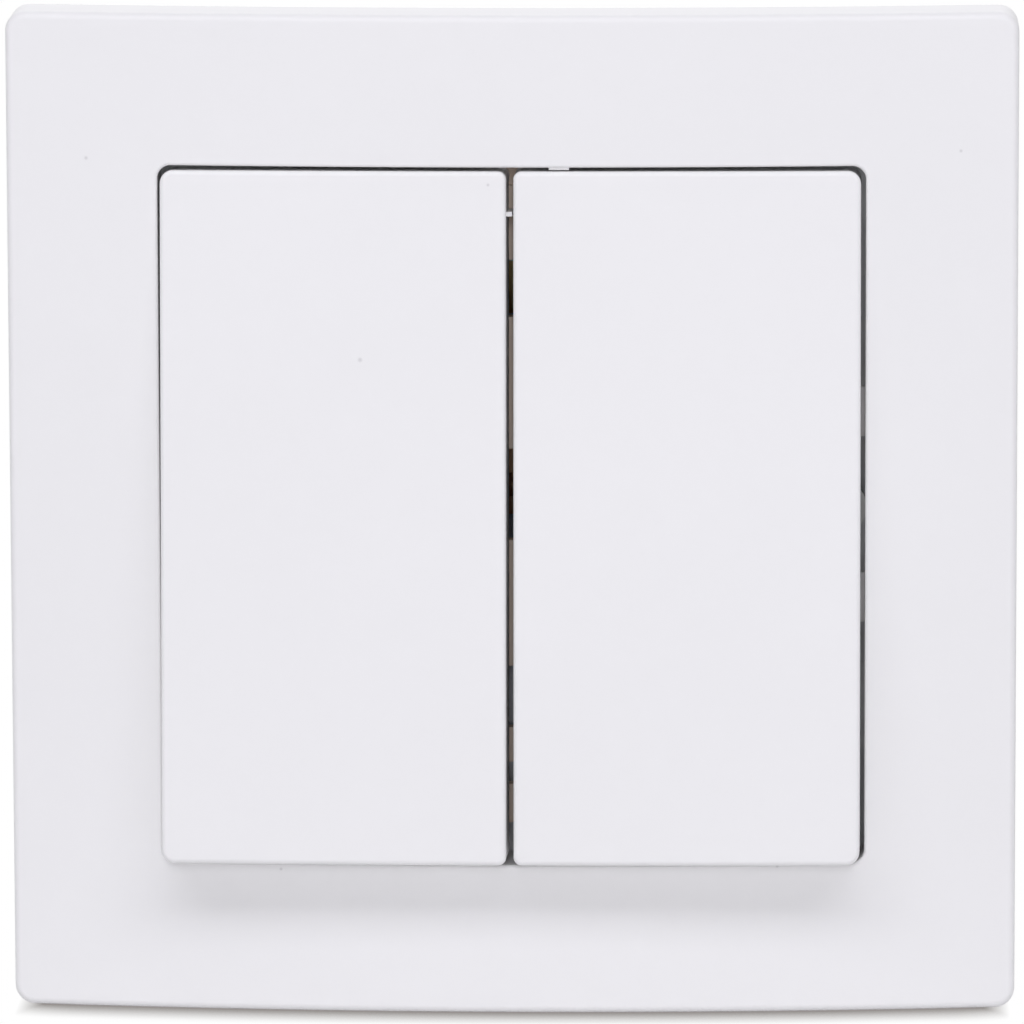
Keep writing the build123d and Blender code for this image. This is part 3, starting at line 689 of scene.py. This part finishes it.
class SetStage(Operator):
    """Pale floor, soft light and the camera"""

    bl_idname = "light_switch.stage"
    bl_label = "Stage"

    def execute(self, context):
        stage = context.scene.switch_stage
        self.make_world(context.scene, stage)
        self.make_floor(context.scene, stage)
        for name, place, spread in LAMPS:
            self.make_lamp(context.scene, name, place, spread, getattr(stage, f"{name}_power"))
        self.make_camera(context.scene, stage)
        context.scene.view_settings.view_transform = "Standard"
        return {"FINISHED"}

    def seen(self, first):
        """One where a ray comes from the camera, a reflection or a transmission, else zero."""
        camera = first.node("ShaderNodeLightPath", {}, {}, "Is Camera Ray")
        glossy = Signal(camera.tree, camera.socket.node.outputs["Is Glossy Ray"])
        through = Signal(camera.tree, camera.socket.node.outputs["Is Transmission Ray"])
        return camera.most(glossy).most(through)

    def make_world(self, scene, stage):
        """An even light from all round, which shows as plain white."""
        world = bpy.data.worlds.new("studio")
        world.use_nodes = True
        scene.world = world
        background = world.node_tree.nodes["Background"]
        seen = self.seen(Signal(world.node_tree, background.outputs[0]))
        strength = seen * (1.0 - stage.sky) + stage.sky
        shade = seen.tint(stage.light_tint[:], WHITE)
        world.node_tree.links.new(shade.socket, background.inputs["Color"])
        world.node_tree.links.new(strength.socket, background.inputs["Strength"])

    def make_floor(self, scene, stage):
        """A square floor under the switch. It shows white, with shade where something stands close to it."""
        half, level = stage.floor_size / 2, CAD_LOW[2]
        corners = [(-half, -half, level), (half, -half, level), (half, half, level), (-half, half, level)]
        mesh = bpy.data.meshes.new("floor")
        mesh.from_pydata(corners, [], [(0, 1, 2, 3)])
        mesh.materials.append(self.floor_material(stage))
        floor = bpy.data.objects.new("floor", mesh)
        scene.collection.objects.link(floor)
        floor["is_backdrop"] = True

    def floor_material(self, stage):
        """Matt grey to the light. To the eye it glows white, with shade close under the switch."""
        material = bpy.data.materials.new("floor")
        material.use_nodes = True
        tree = material.node_tree
        shader = tree.nodes["Principled BSDF"]
        shader.inputs["Base Color"].default_value = as_colour(FLOOR_GREY)
        shader.inputs["Roughness"].default_value = FLOOR_ROUGHNESS
        first = Signal(tree, shader.outputs[0])
        near = {"Distance": stage.contact_shade}
        open_share = first.node("ShaderNodeAmbientOcclusion", {"samples": SHADE_SAMPLES}, near, "AO")
        place = first.node("ShaderNodeTexCoord", {}, {}, "Object")
        aside = place.stretched((1.0, 0.0, 0.0)).away((0.0, 0.0, 0.0))
        past_corner = ((aside - CAD_HIGH[0]) / CORNER_FADE + CORNER_LEAD).held()
        lit = ((open_share - SHADE_DEEPEST) * SHADE_GAIN).held().most(past_corner)
        glow = first.node("ShaderNodeEmission", {}, {"Color": lit.tint(stage.shade_colour[:], WHITE)})
        mixed = first.node("ShaderNodeMixShader", {}, {0: self.seen(first), 1: first, 2: glow})
        tree.links.new(mixed.socket, tree.nodes["Material Output"].inputs["Surface"])
        return material

    def make_lamp(self, scene, name, place, spread, power):
        """A soft rectangular lamp that faces the switch. Only the lamp behind it shows in reflections."""
        lamp = bpy.data.lights.new(name, "AREA")
        lamp.shape = "RECTANGLE"
        lamp.size, lamp.size_y = spread
        lamp.energy = power
        lamp.color = scene.switch_stage.light_tint
        panel = bpy.data.objects.new(name, lamp)
        panel.location = place
        panel.visible_glossy = name == "back"
        panel.rotation_mode = "QUATERNION"
        panel.rotation_quaternion = (-panel.location).to_track_quat("-Z", "Y")
        scene.collection.objects.link(panel)

    def make_camera(self, scene, stage):
        """The photograph's view: a long lens, a little above and to the right of straight ahead."""
        data = bpy.data.cameras.new("camera")
        data.sensor_width = 36.0
        data.lens = stage.lens
        data.shift_y = stage.shift_y
        data.clip_start, data.clip_end = 0.01, 20.0
        camera = bpy.data.objects.new("camera", data)
        back = (
            math.sin(stage.azimuth) * math.cos(stage.elevation),
            -math.cos(stage.azimuth) * math.cos(stage.elevation),
            math.sin(stage.elevation),
        )
        camera.location = [part * stage.distance for part in back]
        camera.location.y += stage.target_y
        camera.rotation_mode = "QUATERNION"
        aim = camera.location.copy()
        aim.y -= stage.target_y
        camera.rotation_quaternion = (-aim).to_track_quat("-Z", "Y")
        camera.rotation_quaternion.rotate(Quaternion(aim, stage.roll))
        scene.collection.objects.link(camera)
        scene.camera = camera


PIECE_OPERATORS = (
    FinishCover,
    FinishRockers,
    FinishMouldings,
    FinishSheetMetal,
    FinishTerminals,
    FinishScrews,
    MakeSprings,
)


class SwitchPanel(Panel):
    """Lists the steps and their settings"""

    bl_idname = "VIEW3D_PT_light_switch"
    bl_label = "Light switch"
    bl_space_type = "VIEW_3D"
    bl_region_type = "UI"
    bl_category = "Light switch"

    def draw(self, context):
        for step in (*PIECE_OPERATORS, SetStage):
            self.layout.operator(step.bl_idname)
        for group in (context.scene.switch_sizes, context.scene.switch_colours, context.scene.switch_stage):
            box = self.layout.box()
            for name in group.__annotations__:
                box.prop(group, name)


CLASSES = (SwitchSizes, SwitchColours, SwitchStage, *PIECE_OPERATORS, SetStage, SwitchPanel)


def register():
    """Registers the classes and puts the settings on the scene."""
    for item in CLASSES:
        bpy.utils.register_class(item)
    bpy.types.Scene.switch_sizes = PointerProperty(type=SwitchSizes)
    bpy.types.Scene.switch_colours = PointerProperty(type=SwitchColours)
    bpy.types.Scene.switch_stage = PointerProperty(type=SwitchStage)


def unregister():
    """Takes the settings and the classes away again."""
    del bpy.types.Scene.switch_sizes
    del bpy.types.Scene.switch_colours
    del bpy.types.Scene.switch_stage
    for item in reversed(CLASSES):
        bpy.utils.unregister_class(item)


def main():
    """Finishes every piece and sets the stage."""
    register()
    for step in (*PIECE_OPERATORS, SetStage):
        family, name = step.bl_idname.split(".")
        getattr(getattr(bpy.ops, family), name)()


if __name__ == "__main__":
    main()
